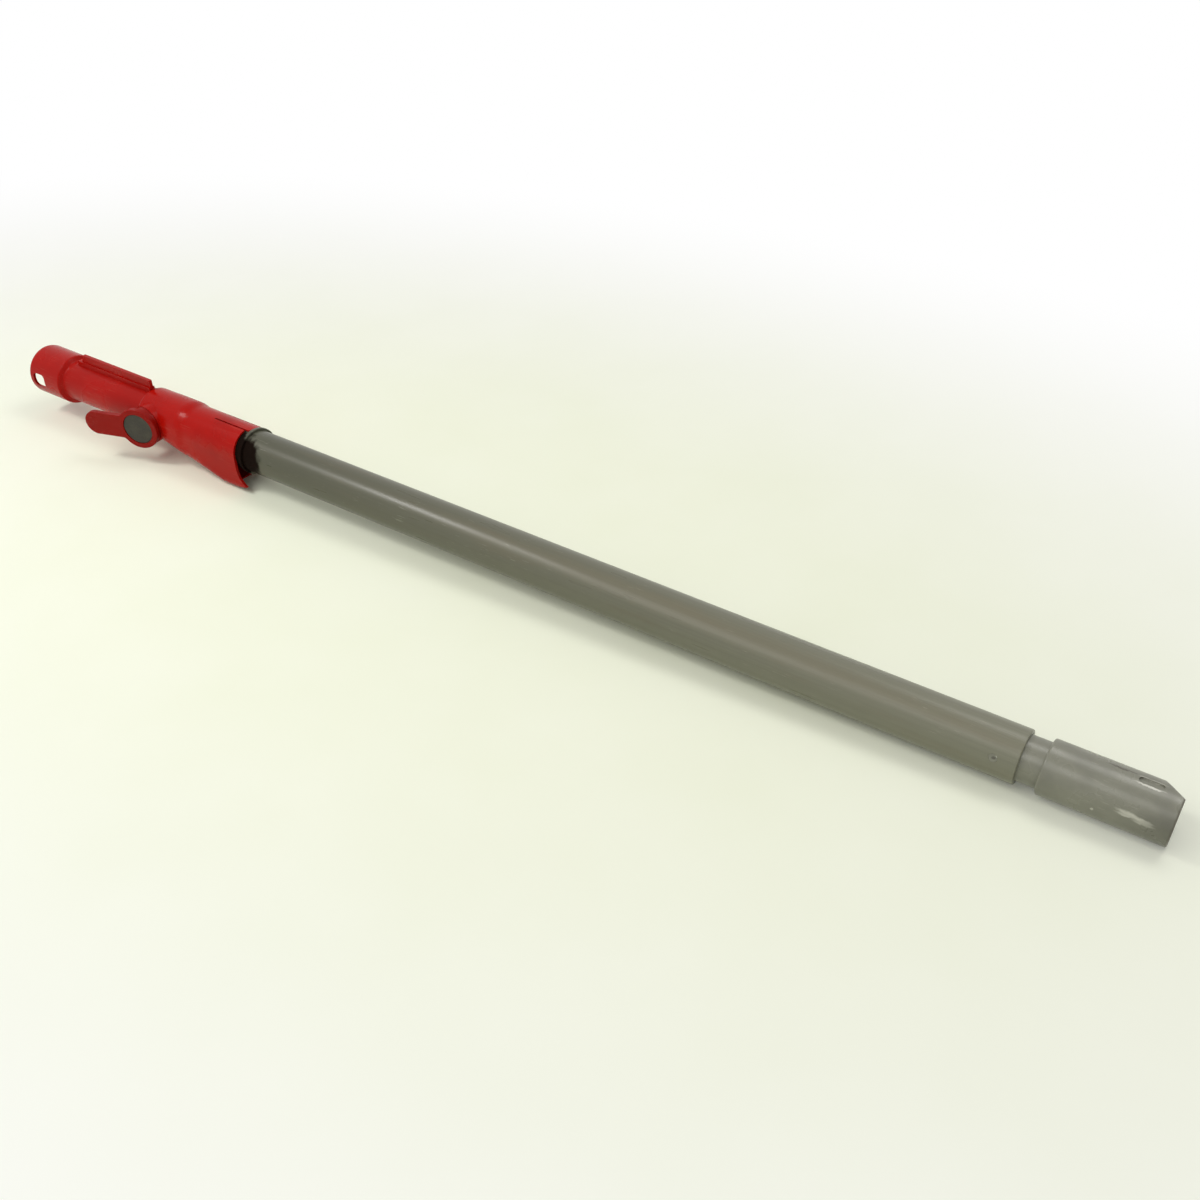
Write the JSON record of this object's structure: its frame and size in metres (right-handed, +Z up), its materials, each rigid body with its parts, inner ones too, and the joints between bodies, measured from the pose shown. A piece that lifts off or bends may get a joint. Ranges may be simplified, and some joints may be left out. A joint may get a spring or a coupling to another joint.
{
  "type": "vacuum extension wand",
  "caption": "Rigid vacuum extension wand: red socket head with guide rail, swivelling cord hook and flared shroud on a grey tube that ends in a grooved spigot tip",
  "frame": {"origin": "centre of the hose socket's mouth, on the wand's axis", "axes": "+X runs along the wand from the socket to the tip, +Z is up as the wand lies on its shroud and tip, and the cord hook is on the -Y side"},
  "size_m": [0.9918, 0.0685, 0.0608],
  "materials": {
    "red_plastic": "moulded, satin gloss",
    "red_hook": "moulded, satin",
    "grey_tube": "extruded, satin gloss",
    "grey_moulding": "moulded, satin with scuffs",
    "dark_cap": "moulded, matte",
    "plated_steel": "zinc plated"
  },
  "bodies": {
    "wand": {"head_moulding": "red_plastic", "main_tube": "grey_tube", "tube_ring": "grey_tube", "end_spigot": "grey_moulding", "pivot_washer": "plated_steel", "pivot_screw": "plated_steel"},
    "hook": {"cord_hook": "red_hook", "hook_cap": "dark_cap"}
  },
  "joints": [
    {"name": "hook_swivel", "type": "hinge", "parent": "wand", "child": "hook", "pos_m": [0.158, -0.021, 0], "axis": [0, 1, 0], "range_deg": [0, 180]}
  ]
}
